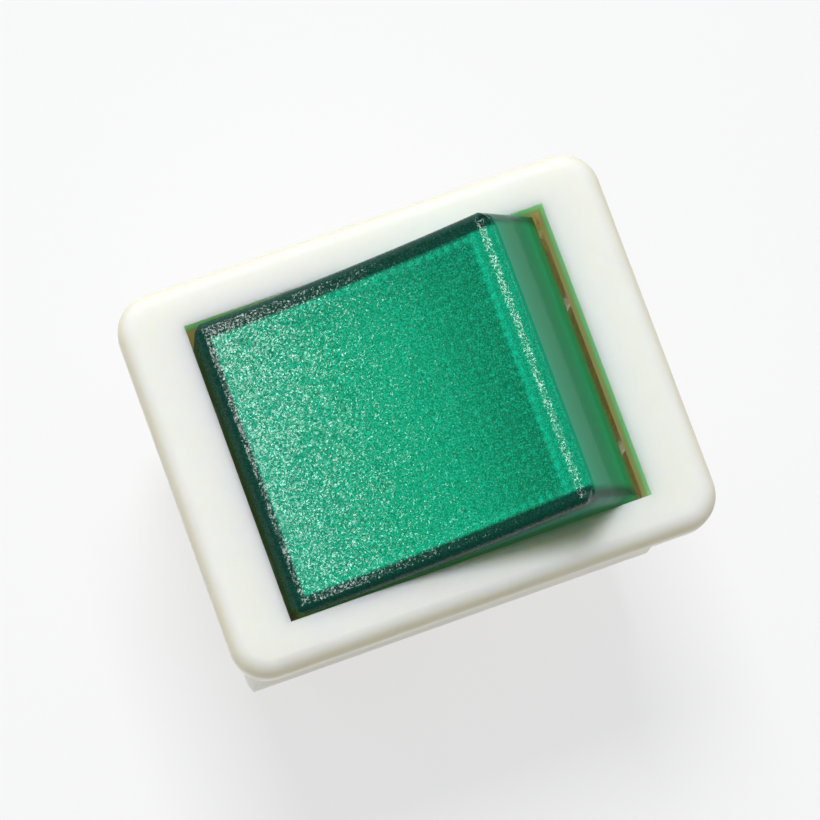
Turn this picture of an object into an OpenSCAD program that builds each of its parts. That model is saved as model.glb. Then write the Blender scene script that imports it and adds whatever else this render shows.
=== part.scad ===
// Illuminated two-pole panel rocker switch that snaps into a 28 x 22 mm panel cut-out.
// The origin is the centre of the bezel's underside, where the panel's front face lies.
// +Z points out of the panel, +X to the raised end of the rocker and +Y across it.
// The rocker is shown with its -X end pressed and both poles open.

/* [Bezel] */
// Length of the bezel along X
bezel_l = 31; // [29.6:0.1:40]
// Width of the bezel along Y
bezel_w = 24.6; // [23:0.1:32]
// Height of the bezel above the panel
bezel_t = 2.2; // [1.6:0.1:3.5]
// Corner radius of the bezel in plan
bezel_corner_r = 2.3; // [1.4:0.1:4]
// Radius of the bezel's rounded top edge
bezel_edge_r = 1.0; // [0.4:0.1:1.2]
// Length of the rocker's opening
opening_l = 23.1; // [21.5:0.1:24.4]
// Width of the rocker's opening
opening_w = 19.1; // [17.6:0.1:19.4]

/* [Body] */
// Length of the panel cut-out
cutout_l = 28; // [27.2:0.1:29]
// Width of the panel cut-out
cutout_w = 22; // [21.6:0.1:22.8]
// Gap between the body and each edge of the cut-out
cutout_gap = 0.2; // [0.1:0.05:0.3]
// Depth of the body behind the panel
body_h = 20; // [19:0.5:26]
// Corner radius of the body in plan
body_corner_r = 1.2; // [0.6:0.1:2]
// Narrowing of each side of the body from the panel down to its floor
body_taper = 0.5; // [0:0.1:0.6]
// Height of the collars round the blades under the body
collar_h = 0.8; // [0.4:0.1:1.2]
// Thickness of the end walls
end_wall = 1.4; // [1.2:0.1:1.5]
// Thickness of the floor that holds the terminals
floor_t = 2.4; // [1.6:0.1:3]
// Depth below the panel's face at which the mouth widens into the cavity
mouth_depth = 1.2; // [0.8:0.1:1.4]

/* [Panel latch] */
// Width of each latch tongue
latch_w = 9; // [6:0.5:12]
// Width of the slot round the tongue
latch_slot = 0.8; // [0.6:0.1:1.2]
// Depth of the tongue's free tip below the panel's face
latch_tip_z = 2.15; // [2.1:0.05:3]
// Length of the tongue
latch_l = 11; // [8:0.5:13]
// Height of the catch above the end wall
latch_catch = 0.7; // [0.4:0.1:1]

/* [Rocker] */
// Angle of the rocker to each side of its middle position
tilt = 15.5; // [12:0.5:17]
// Depth of the pivot axis below the panel's face
pivot_depth = 2.1; // [1.8:0.1:3]
// Height of the face's end edges above the pivot axis
face_h = 7.3; // [6.5:0.1:8.5]
// Depth of the hollow across the face
face_sag = 0.95; // [0.3:0.05:1.4]
// Thickness of the lens below its face
face_t = 1.7; // [1.2:0.1:2.2]
// Thickness of the lens's side and end walls
lens_wall = 1.5; // [1.1:0.1:1.8]
// Radius of the edges round the face
face_edge_r = 0.5; // [0.2:0.1:0.8]
// Radius of the upright corners of the lens
lens_corner_r = 1.1; // [0.4:0.1:1.6]
// Narrowing of each side wall from the mouth up to the face
side_draft = 0.06; // [0:0.02:0.4]
// Length of the lens's skirt below the pivot axis
skirt_drop = 2.4; // [2:0.1:3]
// Gap between the lens and each end of the opening
end_gap = 0.3; // [0.2:0.05:0.5]
// Gap between the lens and each side of the opening
side_gap = 0.1; // [0.1:0.05:0.4]

/* [Carrier] */
// Diameter of the trunnions
trunnion_d = 3; // [2.4:0.1:3.2]
// Thickness of the carrier's plate
plate_t = 1.6; // [1.2:0.1:2.2]
// Length of the light window in the plate
window_l = 13; // [9:0.5:14]
// Width of the light window in the plate
window_w = 5.2; // [4.6:0.1:5.4]
// Outer diameter of the plunger guides
guide_d = 4.4; // [4:0.1:4.6]
// Reach of the plunger guides below the pivot axis
guide_drop = 7.6; // [6.5:0.1:8.5]

/* [Plungers] */
// Diameter of the plungers
plunger_d = 3; // [2.6:0.1:3.2]
// Length of the plungers with their round tips
plunger_l = 7; // [6:0.1:8]
// Wire diameter of the plunger springs
spring_wire_d = 0.35; // [0.25:0.05:0.45]
// Number of turns of the plunger springs
spring_turns = 7; // [4:1:9]

/* [Contact arms] */
// Distance of each pole from the middle
pole_y = 5.35; // [5.2:0.05:5.4]
// Length of each wing of a contact arm
wing_l = 9.2; // [8.8:0.1:9.6]
// Width of a contact arm
arm_w = 5; // [4:0.1:5.2]
// Thickness of a contact arm
arm_t = 0.8; // [0.5:0.1:1]
// Upward bend of each wing
arm_bend = 14; // [12:0.5:16]
// Angle of the arm to each side of its middle position
arm_tilt = 11.5; // [9:0.5:12]
// Distance of the contacts from the arm's rocking edge
contact_x = 7.8; // [7.2:0.1:8]
// Diameter of the contact rivets' heads
contact_d = 3; // [2.4:0.1:3.4]
// Height of the contact rivets' heads
contact_h = 0.9; // [0.6:0.1:1.1]

/* [Terminals] */
// Width of the terminal blades
blade_w = 6.3; // [6:0.1:6.5]
// Thickness of the terminal blades
blade_t = 0.8; // [0.6:0.1:0.9]
// Length of the blades below the body
blade_l = 9.8; // [8:0.1:12]
// Diameter of the hole in each blade
blade_hole_d = 1.7; // [1.2:0.1:2]
// Distance of the hole from the blade's tip
blade_hole_x = 3.8; // [3:0.1:5]
// Distance of the load blades from the middle
load_x = 10; // [9.8:0.1:10.6]

/* [Lamp] */
// Diameter of the neon lamp
lamp_d = 4; // [3.6:0.1:4.1]
// Length of the neon lamp
lamp_l = 9; // [8:0.1:9.4]
// Depth of the lamp's axis below the panel's face
lamp_depth = 6.6; // [6.4:0.1:7.5]
// Diameter of the lead wires
lead_d = 0.5; // [0.4:0.05:0.6]
// Diameter of the series resistor
resistor_d = 1.8; // [1.4:0.1:1.9]
// Length of the series resistor
resistor_l = 4; // [3:0.1:4.5]

/* [Fits] */
// Running clearance on the radius of trunnions and plungers
run_gap = 0.05; // [0.02:0.01:0.08]
// Clearance round pieces that are pressed or laid in place
seat_gap = 0.05; // [0.02:0.01:0.1]
// Gap left where a moving piece comes to rest on a stop
stop_gap = 0.06; // [0.04:0.01:0.1]

/* [Hidden] */
$fn = 64;
eps = 0.01;

// Body and cavity
body_l = cutout_l - 2 * cutout_gap;
body_w = cutout_w - 2 * cutout_gap;
cavity_l = body_l - 2 * end_wall;
floor_z = -body_h + floor_t;
chamber_wall = 0.7;
chamber_w = lamp_d - 0.1;
chamber_l = lamp_l + 2.4;
chamber_top_z = -lamp_depth - 0.45 * lamp_d / 2;
collar_wall = 0.9;
slot_end = 0.6;
catch_lead = 1.2;
catch_land = 0.4;
catch_back = 4.9;
stop_w = 1.2;
stop_root = 4.5;
stop_nose = 1.5;

// Rocker, in its own frame with the pivot axis at the origin
pivot_z = -pivot_depth;
end_reach = opening_l / 2 - end_gap;
face_x = (end_reach - face_h * sin(tilt)) / cos(tilt);
face_r = (face_x * face_x + face_sag * face_sag) / (2 * face_sag);
face_axis_z = face_h - face_sag + face_r;
mouth_half_w = opening_w / 2 - side_gap;
face_half_w = mouth_half_w - side_draft;
lens_depth = face_h + skirt_drop;

// Carrier
carrier_half_w = face_half_w - lens_wall - seat_gap;
carrier_half_l = end_reach - lens_wall - 2 * seat_gap;
plate_z = 0.2;
trunnion_r = trunnion_d / 2;
trunnion_end = body_w / 2 - 0.15;
cheek_w = 1.8;
cheek_l = 4.8;
cheek_margin = 0.4;
guide_bore_r = plunger_d / 2 + run_gap;
guide_top = 0.5;

// Contact arms and terminals
leg_top_z = floor_z + blade_t;
closed_slope = arm_bend - arm_tilt;
arm_z = leg_top_z + 2 * contact_h + stop_gap + contact_d / 2 * sin(closed_slope)
        - contact_x * tan(closed_slope);
tip_r = plunger_d / 2;
tip_reach = min([for (a = [0 : 0.5 : tilt]) tip_reach_at(a)]);
plunger_back = tip_reach + tip_r - plunger_l;
spring_l = plunger_back + guide_top;
spring_coil_r = guide_bore_r - spring_wire_d / 2 - 0.12;
notch_depth = 0.7;
notch_margin = 0.6;
shoulder_w = blade_w + 0.4;

// How far a plunger's round tip can reach below the pivot axis, when the rocker is at the
// angle a from its middle position, before it meets the wing that it slides on
function tip_reach_at(a) = let (slope = arm_bend - a * arm_tilt / tilt)
    ((pivot_z - arm_z) * cos(slope) - arm_t - tip_r - stop_gap) / cos(a - slope);

// Lamp and its wires
lamp_z = -lamp_depth;
lead_y = 0.85;
lead_x = -7.1;
lead_bend_r = 0.8;
lead_end_y = pole_y - blade_w / 2 + 1;
lead_floor_z = leg_top_z + lead_d / 2 + 0.02;
resistor_top_z = lamp_z - 2.2;

// Shared shapes

module rounded_rect(l, w, r) {
    square([l - 2 * r, w], center = true);
    square([l, w - 2 * r], center = true);
    for (x = [-1, 1], y = [-1, 1])
        translate([x * (l / 2 - r), y * (w / 2 - r)]) circle(r = r);
}

// A plate whose upright corners and top edge are both rounded
module edge_rounded_plate(l, w, t, corner_r, edge_r) {
    linear_extrude(t - edge_r) rounded_rect(l, w, corner_r);
    linear_extrude(t) rounded_rect(l - 2 * edge_r, w - 2 * edge_r, corner_r - edge_r);
    for (y = [-1, 1])
        translate([-l / 2 + corner_r, y * (w / 2 - edge_r), t - edge_r])
            rotate([0, 90, 0]) cylinder(r = edge_r, h = l - 2 * corner_r);
    for (x = [-1, 1])
        translate([x * (l / 2 - edge_r), -w / 2 + corner_r, t - edge_r])
            rotate([-90, 0, 0]) cylinder(r = edge_r, h = w - 2 * corner_r);
    for (x = [-1, 1], y = [-1, 1])
        translate([x * (l / 2 - corner_r), y * (w / 2 - corner_r), t - edge_r])
            rotate_extrude() intersection() {
                translate([corner_r - edge_r, 0]) circle(r = edge_r);
                translate([0, -eps]) square([corner_r + eps, edge_r + 2 * eps]);
            }
}

// Stands a shape drawn in X and Z upright and gives it the width w along Y
module across(w) {
    rotate([90, 0, 0]) linear_extrude(w, center = true) children();
}

// Puts a piece that is drawn in the rocker's own frame into its rest pose
module on_rocker() {
    translate([0, 0, pivot_z]) rotate([0, -tilt, 0]) children();
}

// Puts a piece that is drawn in a contact arm's own frame into its rest pose
module on_arm(side) {
    translate([0, side * pole_y, arm_z]) rotate([0, arm_tilt, 0]) children();
}

// Housing: bezel, body, latch tongues, lamp chamber and stops in one moulding

module latch_cuts(side) {
    slot_top = -latch_tip_z + slot_end;
    slot_l = latch_l + slot_end;
    for (y = [-1, 1])
        translate([side * (body_l - end_wall) / 2, y * (latch_w + latch_slot) / 2,
                   slot_top - slot_l / 2])
            cube([end_wall + 2, latch_slot, slot_l], center = true);
    translate([side * (body_l - end_wall) / 2, 0, slot_top - slot_end / 2])
        cube([end_wall + 2, latch_w + 2 * latch_slot, slot_end], center = true);
}

module latch_catch(side) {
    x = body_l / 2;
    land_top = -latch_tip_z - catch_lead;
    land_end = land_top - catch_land;
    mirror([side < 0 ? 1 : 0, 0, 0]) across(latch_w)
        polygon([[x - 0.2, -latch_tip_z], [x, -latch_tip_z], [x + latch_catch, land_top],
                 [x + latch_catch, land_end], [x, land_end - catch_back],
                 [x - 0.2, land_end - catch_back]]);
}

module blade_slot(x, side) {
    translate([x, side * pole_y, floor_z - floor_t])
        cube([blade_t + 2 * seat_gap, blade_w + 2 * seat_gap, 2 * floor_t + collar_h],
             center = true);
}

module blade_collar(x, side) {
    translate([x, side * pole_y, -body_h - collar_h / 2])
        cube([blade_t + 2 * collar_wall, blade_w + 2 * collar_wall, collar_h + 2 * eps],
             center = true);
}

// Body with upright ends and with sides that narrow towards the floor
module body_block() {
    intersection() {
        translate([0, 0, -body_h]) linear_extrude(body_h + 0.5)
            rounded_rect(body_l, body_w, body_corner_r);
        rotate([90, 0, 90]) linear_extrude(body_l + 2, center = true)
            polygon([[-body_w / 2, 1], [-body_w / 2, 0], [body_taper - body_w / 2, -body_h],
                     [body_w / 2 - body_taper, -body_h], [body_w / 2, 0], [body_w / 2, 1]]);
    }
}

// The chamber between the poles: it keeps them apart and carries the lamp
module lamp_chamber() {
    h = chamber_top_z - floor_z;
    difference() {
        translate([0, 0, floor_z + h / 2 - eps])
            cube([chamber_l, chamber_w, h + 2 * eps], center = true);
        translate([0, 0, floor_z + h / 2 + 1])
            cube([chamber_l - 2 * chamber_wall, chamber_w - 2 * chamber_wall, h + 2], center = true);
        translate([0, 0, lamp_z]) rotate([0, 90, 0])
            cylinder(r = lamp_d / 2 + seat_gap, h = chamber_l + 2, center = true);
    }
}

// A rib that a contact arm's +X wing rests on while its pole is open
module arm_stop(side) {
    top_z = arm_z + (contact_x - 0.6) * tan(closed_slope) - stop_gap;
    translate([contact_x - 0.6, side * pole_y - arm_w / 2, floor_z - eps])
        cube([1.2, arm_w, top_z - floor_z + eps]);
}

// Two ribs in each end of the cavity stop the skirt of the pressed end
module rocker_stop(x_side, y_side) {
    skirt_x = sqrt(end_reach * end_reach - skirt_drop * skirt_drop);
    top_z = pivot_z - skirt_x * sin(tilt) - skirt_drop * cos(tilt) - stop_gap;
    inner_x = skirt_x * cos(tilt) - stop_w;
    mirror([x_side < 0 ? 1 : 0, 0, 0])
        translate([0, y_side * (mouth_half_w - lens_wall / 2), 0]) across(stop_w)
            polygon([[inner_x, top_z], [cavity_l / 2 + 0.2, top_z],
                     [cavity_l / 2 + 0.2, top_z - stop_root], [inner_x, top_z - stop_nose]]);
}

module housing() color([0.90, 0.89, 0.84]) {
    difference() {
        union() {
            edge_rounded_plate(bezel_l, bezel_w, bezel_t, bezel_corner_r, bezel_edge_r);
            body_block();
            for (s = [-1, 1]) {
                latch_catch(s);
                blade_collar(0, s);
                blade_collar(-load_x, s);
            }
        }
        translate([-opening_l / 2, -opening_w / 2, -body_h / 2])
            cube([opening_l, opening_w, body_h]);
        translate([-cavity_l / 2, -opening_w / 2, floor_z])
            cube([cavity_l, opening_w, -mouth_depth - floor_z]);
        translate([0, 0, pivot_z]) rotate([90, 0, 0])
            cylinder(r = trunnion_r + run_gap, h = body_w + 2, center = true);
        for (s = [-1, 1]) {
            latch_cuts(s);
            blade_slot(0, s);
            blade_slot(-load_x, s);
        }
    }
    lamp_chamber();
    for (s = [-1, 1]) {
        arm_stop(s);
        for (e = [-1, 1]) rocker_stop(e, s);
    }
}

// Rocker lens: a hollow translucent shell with a face that is hollowed along X

// Outline in X and Z of a shell whose end walls reach the given distance from the pivot:
// an arc about the pivot below, and above it a flat that stands upright when pressed
module rocker_outline(reach, low_z, high_z) {
    touch = [reach * cos(tilt), reach * sin(tilt)];
    top_x = (reach - high_z * sin(tilt)) / cos(tilt);
    intersection() {
        union() {
            circle(r = reach);
            polygon([[-touch[0], touch[1]], [0, 0], [touch[0], touch[1]],
                     [top_x, high_z], [-top_x, high_z]]);
        }
        translate([-reach - 1, low_z]) square([2 * reach + 2, high_z - low_z]);
    }
}

// What the rounding takes off the edge between the face and an end wall
module end_edge_cut() {
    d = end_reach - face_edge_r;
    foot = [d * cos(tilt), d * sin(tilt)];
    along = [-sin(tilt), cos(tilt)];
    rel = foot - [0, face_axis_z];
    b = rel * along;
    gap = face_r + face_edge_r;
    u = -b - sqrt(b * b - rel * rel + gap * gap);
    centre = foot + u * along;
    to_face = ([0, face_axis_z] - centre) / gap;
    difference() {
        polygon([centre, centre + face_edge_r * [cos(tilt), sin(tilt)],
                 [face_x + 0.4, face_h + 1.5], centre + face_edge_r * to_face]);
        translate(centre) circle(r = face_edge_r);
    }
}

// A band swept about the face's own axis: the rounded, drafted section across the lens
module lens_section() {
    reach = lens_depth + 3;
    r = face_edge_r;
    y_low = face_half_w + side_draft * reach / lens_depth;
    translate([0, 0, face_axis_z]) rotate([90, 0, 0]) rotate([0, 0, -120])
        rotate_extrude(angle = 60, $fn = 256) {
            polygon([[face_r + r, -face_half_w], [face_r + reach, -y_low],
                     [face_r + reach, y_low], [face_r + r, face_half_w]]);
            translate([face_r, r - face_half_w]) square([r + 0.1, 2 * (face_half_w - r)]);
            for (s = [-1, 1])
                translate([face_r + r, s * (face_half_w - r)]) circle(r = r);
        }
}

// A slanted prism that rounds the upright corners at one end
module lens_corners(side) {
    rotate([0, -side * tilt, 0]) translate([-side * end_reach / 2, 0, 0])
        linear_extrude(6 * face_h, center = true)
            rounded_rect(3 * end_reach, 2 * mouth_half_w, lens_corner_r);
}

module rocker_lens() color([0.05, 0.62, 0.36]) on_rocker() difference() {
    intersection() {
        across(opening_w + 2) difference() {
            rocker_outline(end_reach, -skirt_drop, face_h);
            translate([0, face_axis_z]) circle(r = face_r, $fn = 256);
            for (m = [0, 1]) mirror([m, 0]) end_edge_cut();
        }
        lens_section();
        lens_corners(1);
        lens_corners(-1);
    }
    intersection() {
        across(opening_w) difference() {
            rocker_outline(end_reach - lens_wall, -skirt_drop - 1, face_h);
            translate([0, face_axis_z]) circle(r = face_r + face_t, $fn = 256);
        }
        cube([2 * opening_l, 2 * (face_half_w - lens_wall), 4 * face_h], center = true);
    }
    rotate([90, 0, 0])
        cylinder(r = trunnion_r + 2 * run_gap, h = opening_w + 2, center = true);
    translate([0, 0, -skirt_drop])
        cube([trunnion_d + 4 * run_gap, opening_w + 2, 2 * skirt_drop], center = true);
}

// Rocker carrier: plate, trunnions and plunger guides under the lens

module rocker_carrier() color([0.88, 0.87, 0.82]) on_rocker() difference() {
    union() {
        difference() {
            translate([-carrier_half_l + 0.3, -carrier_half_w, plate_z])
                cube([2 * carrier_half_l - 0.6, 2 * carrier_half_w, plate_t]);
            translate([0, 0, plate_z + plate_t / 2])
                cube([window_l, window_w, plate_t + 1], center = true);
        }
        for (s = [-1, 1]) {
            translate([-cheek_l / 2, s > 0 ? carrier_half_w - cheek_w : -carrier_half_w,
                       -trunnion_r - cheek_margin])
                cube([cheek_l, cheek_w, plate_z + trunnion_r + 2 * cheek_margin]);
            rotate([s * -90, 0, 0]) translate([0, 0, carrier_half_w - 0.5])
                cylinder(r = trunnion_r, h = trunnion_end - carrier_half_w + 0.5);
            translate([0, s * pole_y, -guide_drop])
                cylinder(d = guide_d, h = guide_drop + plate_z + plate_t);
        }
    }
    for (s = [-1, 1])
        translate([0, s * pole_y, -guide_drop - 1])
            cylinder(r = guide_bore_r, h = guide_drop + 1 + guide_top);
}

// Plungers: round-ended pins that the springs press on the contact arms

module plunger(side) color([0.92, 0.91, 0.88]) on_rocker() translate([0, side * pole_y, 0]) {
    translate([0, 0, -tip_reach]) cylinder(r = tip_r, h = tip_reach - plunger_back);
    translate([0, 0, -tip_reach]) sphere(r = tip_r);
}

// Springs: a round wire wound about the guide's axis, with closed ends

function coil_z(turn) = let (r = spring_wire_d / 2, lead = spring_turns - 2)
    turn < 1 ? r + turn * spring_wire_d * 1.05
    : turn > spring_turns - 1
        ? spring_l - r - (spring_turns - turn) * spring_wire_d * 1.05
        : r + spring_wire_d * 1.05
          + (turn - 1) / lead * (spring_l - 2 * r - 2.1 * spring_wire_d);

module spring(side) color([0.75, 0.76, 0.78])
    on_rocker() translate([0, side * pole_y, -plunger_back + 0.02]) {
        rings = spring_turns * 12;
        sides = 8;
        scale_l = (spring_l - 0.04) / spring_l;
        points = [for (i = [0 : rings], k = [0 : sides - 1])
            let (a = i * 30, b = k * 360 / sides,
                 r = spring_coil_r + spring_wire_d / 2 * cos(b))
            [r * cos(a), r * sin(a), scale_l * coil_z(i / 12) + spring_wire_d / 2 * sin(b)]];
        skin = [for (i = [0 : rings - 1], k = [0 : sides - 1])
            let (n = (k + 1) % sides)
            [i * sides + k, (i + 1) * sides + k, (i + 1) * sides + n, i * sides + n]];
        polyhedron(points, concat(skin, [[for (k = [0 : sides - 1]) k]],
                                  [[for (k = [sides - 1 : -1 : 0]) rings * sides + k]]));
    }

// Contact arms: V-bent strips that rock on the common terminals

module wing(side) {
    across(arm_w) mirror([side < 0 ? 1 : 0, 0])
        polygon([[0, 0], [wing_l * cos(arm_bend), wing_l * sin(arm_bend)],
                 [wing_l * cos(arm_bend) - arm_t * sin(arm_bend),
                  wing_l * sin(arm_bend) + arm_t * cos(arm_bend)],
                 [0, arm_t / cos(arm_bend)]]);
}

module contact_arm(side) color([0.78, 0.50, 0.30]) on_arm(side) difference() {
    for (s = [-1, 1]) wing(s);
    for (s = [-1, 1])
        translate([0, s * arm_w / 2, 0])
            cube([blade_t + notch_margin, 2 * notch_depth, 4 * arm_t], center = true);
    rotate([0, arm_bend, 0]) translate([-contact_x, 0, 0])
        cylinder(d = contact_d / 2, h = 3, center = true);
}

// A rivet: head under the wing, shank through it and a formed head above
module moving_contact(side) color([0.80, 0.80, 0.82]) on_arm(side) rotate([0, arm_bend, 0])
    translate([-contact_x, 0, 0]) {
        translate([0, 0, -contact_h]) cylinder(d = contact_d, h = contact_h);
        cylinder(d = contact_d / 2 - 2 * seat_gap, h = arm_t);
        translate([0, 0, arm_t]) cylinder(d = contact_d * 0.7, h = 0.4);
    }

// Terminals: stamped brass blades with shoulders that seat on the floor

module blade_profile() {
    tip_z = -body_h - blade_l;
    chamfer = 1;
    difference() {
        polygon([[-blade_w / 2, floor_z], [-blade_w / 2, tip_z + chamfer],
                 [-blade_w / 2 + chamfer, tip_z], [blade_w / 2 - chamfer, tip_z],
                 [blade_w / 2, tip_z + chamfer], [blade_w / 2, floor_z]]);
        translate([0, tip_z + blade_hole_x]) circle(d = blade_hole_d);
    }
}

module blade(x, side) {
    translate([x, side * pole_y, 0]) rotate([90, 0, 90])
        linear_extrude(blade_t, center = true) blade_profile();
}

module common_terminal(side) color([0.83, 0.69, 0.40]) {
    horn_w = (shoulder_w - arm_w) / 2 + notch_depth - 0.1;
    horn_h = 1.2;
    blade(0, side);
    translate([0, side * pole_y, 0]) {
        translate([-blade_t / 2, -shoulder_w / 2, floor_z])
            cube([blade_t, shoulder_w, arm_z - stop_gap - floor_z]);
        for (s = [-1, 1])
            translate([-blade_t / 2, s * (shoulder_w - horn_w) / 2 - horn_w / 2, floor_z])
                cube([blade_t, horn_w, arm_z + horn_h - floor_z]);
    }
}

module load_terminal(side) color([0.83, 0.69, 0.40]) {
    blade(-load_x, side);
    difference() {
        translate([-load_x - blade_t / 2, side * pole_y - shoulder_w / 2, floor_z])
            cube([load_x - contact_x + contact_d / 2 + blade_t / 2 + 0.3, shoulder_w, blade_t]);
        translate([-contact_x, side * pole_y, floor_z])
            cylinder(d = contact_d / 2, h = 3, center = true);
    }
}

module fixed_contact(side) color([0.80, 0.80, 0.82])
    translate([-contact_x, side * pole_y, 0]) {
        translate([0, 0, leg_top_z]) cylinder(d = contact_d, h = contact_h);
        translate([0, 0, floor_z]) cylinder(d = contact_d / 2 - 2 * seat_gap, h = blade_t);
    }

// Lamp: glass tube with a round tip and a pinched end that the two wires leave

module neon_lamp() color([0.85, 0.88, 0.88]) translate([0, 0, lamp_z]) {
    r = lamp_d / 2;
    wall = 0.4;
    x0 = -lamp_l / 2;
    difference() {
        union() {
            translate([x0 + 1.5, 0, 0]) rotate([0, 90, 0]) cylinder(r = r, h = lamp_l - 1.5 - r);
            translate([lamp_l / 2 - r, 0, 0]) sphere(r = r);
            translate([x0 + 0.9, 0, 0]) cube([1.8, 2 * lead_y + 1.2, 1.4], center = true);
        }
        translate([x0 + 2.2, 0, 0]) rotate([0, 90, 0]) cylinder(r = r - wall, h = lamp_l - 2.2 - r);
        translate([lamp_l / 2 - r, 0, 0]) sphere(r = r - wall);
        for (s = [-1, 1])
            translate([x0, s * lead_y, 0]) rotate([0, 90, 0])
                cylinder(d = lead_d + 2 * seat_gap, h = lamp_l, center = true);
    }
}

// Straight run of wire between two points that differ along one axis
module wire(from, to) {
    d = to - from;
    translate(from)
        rotate(d[0] != 0 ? [0, d[0] > 0 ? 90 : -90, 0]
             : d[1] != 0 ? [d[1] > 0 ? -90 : 90, 0, 0]
             : [0, d[2] > 0 ? 0 : 180, 0])
            cylinder(d = lead_d, h = norm(d));
}

// Quarter turn from the -X run into the downward run
module bend_down(y) {
    translate([lead_x + lead_bend_r, y, lamp_z - lead_bend_r]) rotate([90, 0, 0])
        rotate([0, 0, 90]) rotate_extrude(angle = 90) translate([lead_bend_r, 0]) circle(d = lead_d);
}

// Quarter turn from the downward run into the run that lies on the load terminal
module bend_out(side) {
    translate([lead_x, side * (lead_y + lead_bend_r), lead_floor_z + lead_bend_r])
        rotate([90, 0, 90]) rotate([0, 0, side > 0 ? 180 : 270])
            rotate_extrude(angle = 90) translate([lead_bend_r, 0]) circle(d = lead_d);
}

module lead_down(side, from_z) {
    wire([lead_x, side * lead_y, from_z],
         [lead_x, side * lead_y, lead_floor_z + lead_bend_r]);
    bend_out(side);
    wire([lead_x, side * (lead_y + lead_bend_r), lead_floor_z],
         [lead_x, side * lead_end_y, lead_floor_z]);
}

module lead_in(side) {
    wire([lamp_l / 2 - lamp_d / 2 - 0.4, side * lead_y, lamp_z],
         [lead_x + lead_bend_r, side * lead_y, lamp_z]);
    bend_down(side * lead_y);
}

module lamp_lead() color([0.72, 0.72, 0.74]) {
    lead_in(1);
    lead_down(1, lamp_z - lead_bend_r);
}

module link_lead() color([0.72, 0.72, 0.74]) {
    lead_in(-1);
    wire([lead_x, -lead_y, lamp_z - lead_bend_r], [lead_x, -lead_y, resistor_top_z]);
}

module lamp_resistor() color([0.80, 0.70, 0.52])
    translate([lead_x, -lead_y, resistor_top_z - resistor_l]) {
        cap = 1;
        cylinder(d = resistor_d, h = cap);
        translate([0, 0, cap]) cylinder(d = resistor_d - 0.3, h = resistor_l - 2 * cap);
        translate([0, 0, resistor_l - cap]) cylinder(d = resistor_d, h = cap);
    }

module resistor_lead() color([0.72, 0.72, 0.74])
    lead_down(-1, resistor_top_z - resistor_l);

housing();
rocker_lens();
rocker_carrier();
plunger(1);  // plunger_a
plunger(-1);  // plunger_b
spring(1);  // plunger_spring_a
spring(-1);  // plunger_spring_b
contact_arm(1);  // contact_arm_a
contact_arm(-1);  // contact_arm_b
moving_contact(1);  // moving_contact_a
moving_contact(-1);  // moving_contact_b
fixed_contact(1);  // fixed_contact_a
fixed_contact(-1);  // fixed_contact_b
common_terminal(1);  // common_terminal_a
common_terminal(-1);  // common_terminal_b
load_terminal(1);  // load_terminal_a
load_terminal(-1);  // load_terminal_b
neon_lamp();
lamp_lead();
link_lead();
lamp_resistor();
resistor_lead();
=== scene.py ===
import math

import bmesh
import bpy
from mathutils import Matrix, Quaternion, Vector


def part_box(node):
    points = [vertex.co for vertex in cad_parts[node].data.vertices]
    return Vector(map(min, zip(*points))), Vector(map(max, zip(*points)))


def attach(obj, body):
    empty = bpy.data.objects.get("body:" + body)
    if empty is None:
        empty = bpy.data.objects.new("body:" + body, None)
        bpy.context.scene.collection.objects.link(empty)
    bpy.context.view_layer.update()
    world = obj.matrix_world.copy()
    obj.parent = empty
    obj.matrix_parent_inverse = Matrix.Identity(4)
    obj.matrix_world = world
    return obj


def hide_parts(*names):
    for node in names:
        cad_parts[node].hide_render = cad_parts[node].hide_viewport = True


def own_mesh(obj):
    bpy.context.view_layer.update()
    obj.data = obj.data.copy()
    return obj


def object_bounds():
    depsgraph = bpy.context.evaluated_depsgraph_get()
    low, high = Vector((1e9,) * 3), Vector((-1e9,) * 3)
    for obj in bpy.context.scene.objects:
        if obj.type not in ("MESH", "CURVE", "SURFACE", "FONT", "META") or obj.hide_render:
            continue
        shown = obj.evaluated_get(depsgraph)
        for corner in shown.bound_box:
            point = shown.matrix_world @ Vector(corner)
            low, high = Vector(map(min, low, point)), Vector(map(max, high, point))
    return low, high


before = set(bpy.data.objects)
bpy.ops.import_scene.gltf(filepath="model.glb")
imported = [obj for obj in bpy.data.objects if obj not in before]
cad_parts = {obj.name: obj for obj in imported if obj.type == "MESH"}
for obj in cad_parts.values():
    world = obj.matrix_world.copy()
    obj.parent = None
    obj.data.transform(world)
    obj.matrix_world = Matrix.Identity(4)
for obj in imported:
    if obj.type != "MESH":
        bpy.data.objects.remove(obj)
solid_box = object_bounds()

# ---------------------------------------------------------------- camera and studio
# The switch stands on its terminals on a white sheet, seen almost from straight above.
# A small softbox hangs high up behind it, and a pale wall at the back fills in the rest.

MM = 0.001
aim = Vector((-0.17 * MM, 0.53 * MM, 0))
heading = math.radians(232.86)
height = math.radians(78.55)
roll = math.radians(20.3)
distance = 0.27296

toward_eye = Vector((math.cos(height) * math.cos(heading),
                     math.cos(height) * math.sin(heading), math.sin(height)))
level_up = (Vector((0, 1, 0)) - toward_eye * toward_eye.y).normalized()
up = Quaternion(toward_eye, -roll) @ level_up
camera_data = bpy.data.cameras.new("camera")
camera_data.lens = 197.1
camera_data.sensor_width = 36
camera_data.clip_start = 0.005
camera = bpy.data.objects.new("camera", camera_data)
bpy.context.scene.collection.objects.link(camera)
camera.matrix_world = (
    Matrix.Translation(aim + distance * toward_eye)
    @ Matrix((up.cross(toward_eye), up, toward_eye)).transposed().to_4x4())
bpy.context.scene.camera = camera
bpy.context.scene.view_settings.view_transform = "Standard"


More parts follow.
